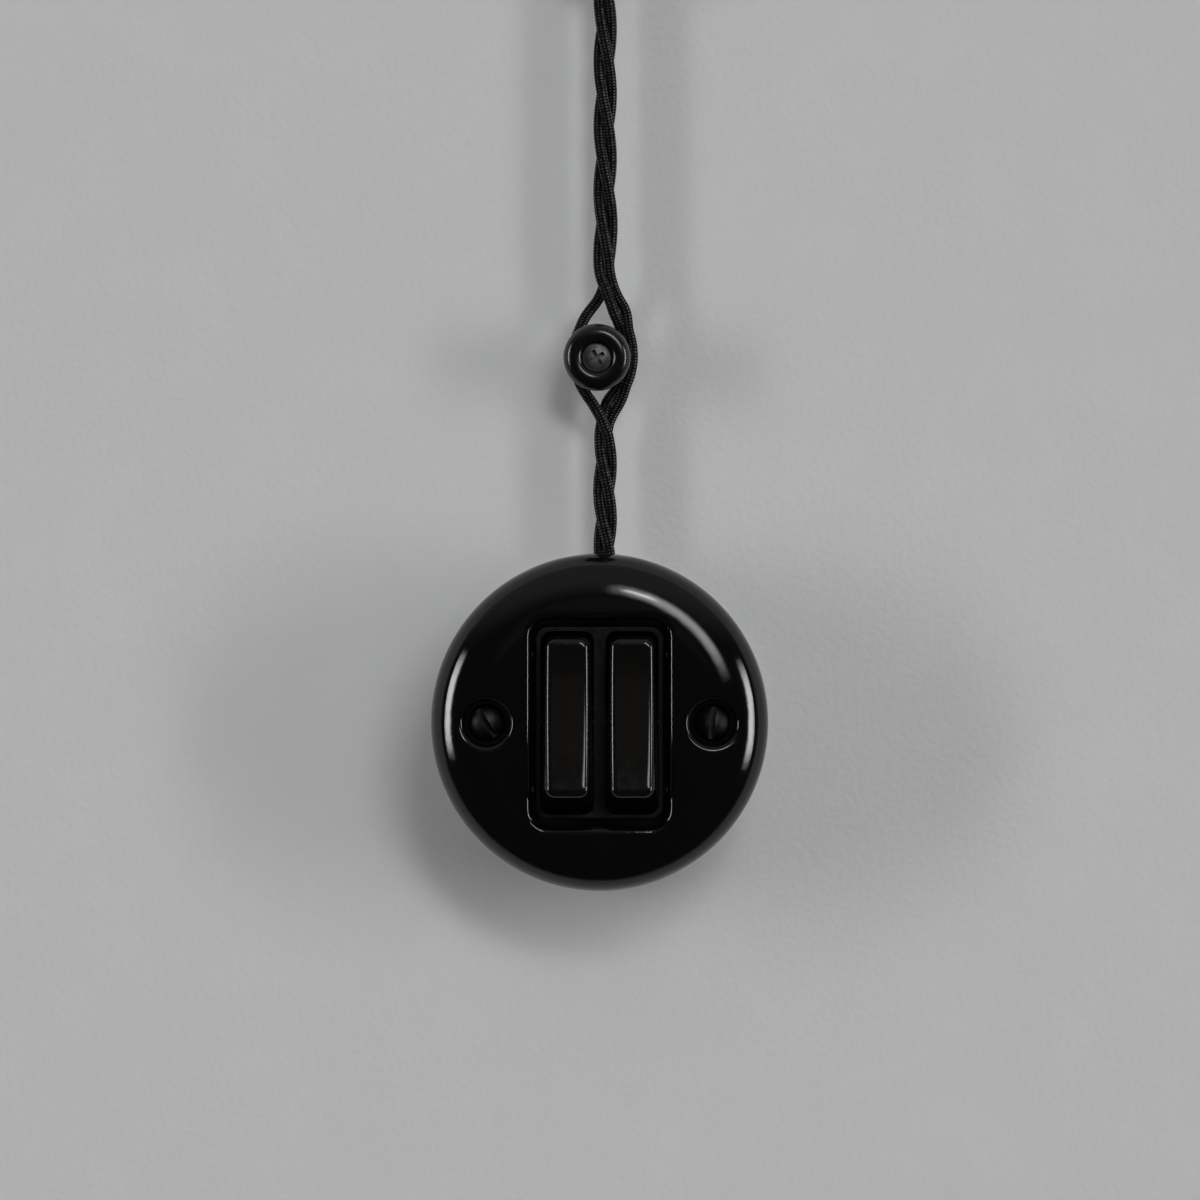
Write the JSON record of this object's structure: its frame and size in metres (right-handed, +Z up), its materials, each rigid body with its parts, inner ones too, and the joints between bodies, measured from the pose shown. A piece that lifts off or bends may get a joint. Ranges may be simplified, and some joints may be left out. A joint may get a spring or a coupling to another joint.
{
  "type": "roller shutter switch",
  "caption": "Round black porcelain wall switch with paired rockers for raising and lowering a roller shutter, fed by a twisted textile cord held on a knob insulator.",
  "frame": {"origin": "centre of the switch's back, on the wall plane, midway between its wall-screw holes", "axes": "+Z up the wall, +Y into the wall, so the rockers look along -Y; +X to the right of someone facing the switch"},
  "size_m": [0.09, 0.065, 0.269],
  "materials": {
    "black_porcelain": "gloss black glaze",
    "rocker_plastic": "gloss brown-black thermoset",
    "frame_plastic": "satin black moulding",
    "housing_plastic": "matt dark moulding",
    "pale_plastic": "natural self-lubricating plastic",
    "spring_steel": "drawn wire",
    "strap_steel": "zinc-plated sheet",
    "plated_steel": "zinc-plated",
    "dark_screw_steel": "blackened, worn satin",
    "brass": "bright rolled",
    "contact_copper": "copper alloy with silver buttons",
    "lead_insulation": "soft black insulation",
    "black_textile": "braided black yarn with pale fleck"
  },
  "bodies": {
    "switch": {"base": "black_porcelain", "base_inserts": "brass", "cord_lower": "black_textile", "cord_upper": "black_textile", "cover": "black_porcelain", "cover_screws": "dark_screw_steel", "end_bush": "black_porcelain", "housing": "housing_plastic", "housing_rivets": "plated_steel", "knob_insulator": "black_porcelain", "knob_screw": "dark_screw_steel", "lead_down": "lead_insulation", "lead_line": "lead_insulation", "lead_up": "lead_insulation", "plate_down": "brass", "plate_line": "brass", "plate_link": "brass", "plate_up": "brass", "rocker_frame": "frame_plastic", "strand_inner": "black_textile", "strand_left": "black_textile", "strand_outer": "black_textile", "strap_screws": "plated_steel", "support_strap": "strap_steel", "terminal_blocks": "brass", "terminal_screws": "plated_steel"},
    "up_rocker": {"rocker_up": "rocker_plastic", "plunger_up": "pale_plastic", "plunger_spring_up": "spring_steel"},
    "down_rocker": {"rocker_down": "rocker_plastic", "plunger_down": "pale_plastic", "plunger_spring_down": "spring_steel"},
    "up_contact": {"contact_up": "contact_copper"},
    "down_contact": {"contact_down": "contact_copper"}
  },
  "joints": [
    {"name": "up_rocker_pivot", "type": "hinge", "parent": "switch", "child": "up_rocker", "pos_m": [-0.0086, -0.028, 0], "axis": [1, 0, 0], "range_deg": [0, 16]},
    {"name": "down_rocker_pivot", "type": "hinge", "parent": "switch", "child": "down_rocker", "pos_m": [0.0086, -0.028, 0], "axis": [1, 0, 0], "range_deg": [0, 16]},
    {"name": "up_contact_pivot", "type": "hinge", "parent": "switch", "child": "up_contact", "pos_m": [-0.0086, -0.0163, 0], "axis": [1, 0, 0], "range_deg": [-12, 0]},
    {"name": "down_contact_pivot", "type": "hinge", "parent": "switch", "child": "down_contact", "pos_m": [0.0086, -0.0163, 0], "axis": [1, 0, 0], "range_deg": [-12, 0]}
  ],
  "couplings": [
    {"joint": "up_contact_pivot", "follows": "up_rocker_pivot", "ratio": -0.75},
    {"joint": "down_contact_pivot", "follows": "down_rocker_pivot", "ratio": -0.75}
  ]
}
